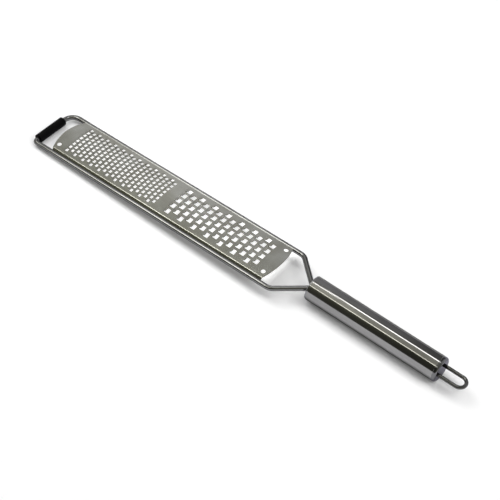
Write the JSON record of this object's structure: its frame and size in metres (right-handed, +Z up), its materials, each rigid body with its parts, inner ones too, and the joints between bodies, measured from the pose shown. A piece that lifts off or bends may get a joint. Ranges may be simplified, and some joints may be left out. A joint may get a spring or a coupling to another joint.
{
  "type": "rasp zester",
  "caption": "Long hand grater: an arched steel blade with fine and coarse punched teeth in a bent rod frame, a round tube handle, a rubber tip sleeve and a hanging loop.",
  "frame": {"origin": "on the table, under the middle of the whole length, with the handle and the tip sleeve resting on the table", "axes": "+X from the rubber tip towards the hanging loop, +Y across the blade, +Z up from the table through the teeth"},
  "size_m": [0.4032, 0.047, 0.02],
  "materials": {
    "blade_steel": "satin stamped stainless sheet",
    "rod_steel": "polished stainless rod",
    "sleeve_rubber": "matte black rubber",
    "handle_steel": "polished stainless tube",
    "cap_steel": "satin turned stainless steel",
    "loop_steel": "polished stainless wire"
  },
  "bodies": {
    "root": {"grater_blade": "blade_steel", "frame_wire": "rod_steel", "tip_sleeve": "sleeve_rubber", "handle_tube": "handle_steel", "handle_front_cap": "cap_steel", "handle_rear_cap": "cap_steel", "hanging_loop": "loop_steel"}
  },
  "joints": []
}
